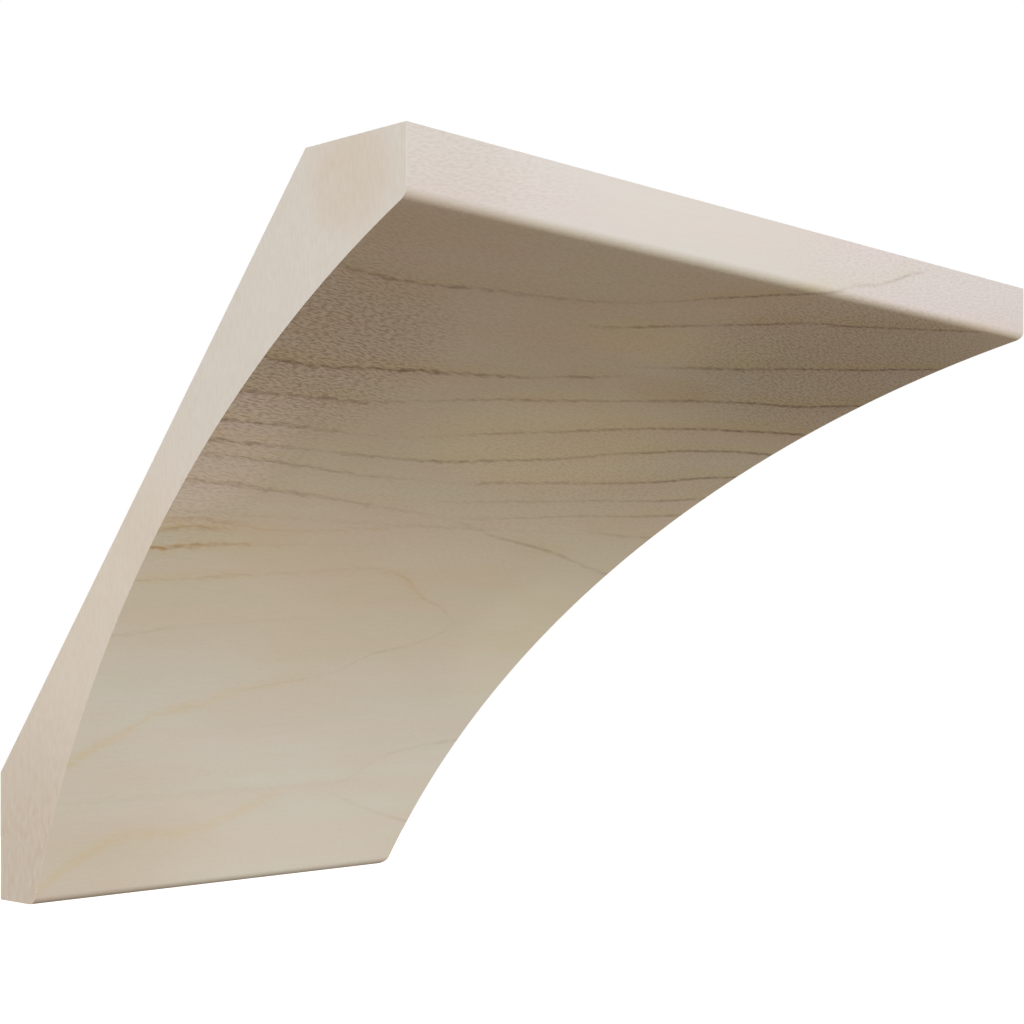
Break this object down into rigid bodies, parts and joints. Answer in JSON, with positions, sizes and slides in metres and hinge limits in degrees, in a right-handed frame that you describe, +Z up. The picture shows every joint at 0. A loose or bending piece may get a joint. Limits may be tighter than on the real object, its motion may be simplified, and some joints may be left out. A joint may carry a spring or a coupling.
{
  "type": "crown moulding corner piece",
  "caption": "Short solid maple cove crown moulding with a flat fascia, a hollow face and a slanted back, square at one end and mitred at the other for an outside corner.",
  "frame": {"origin": "centre of the flat at the back that sits against the wall", "axes": "+X along the moulding from the square end towards the mitre, +Y into the wall, +Z up to the ceiling"},
  "size_m": [0.1512, 0.0889, 0.1016],
  "materials": {
    "maple": "bare sanded maple with fine growth lines, unfinished"
  },
  "bodies": {
    "root": {"cove_moulding": "maple"}
  },
  "joints": []
}
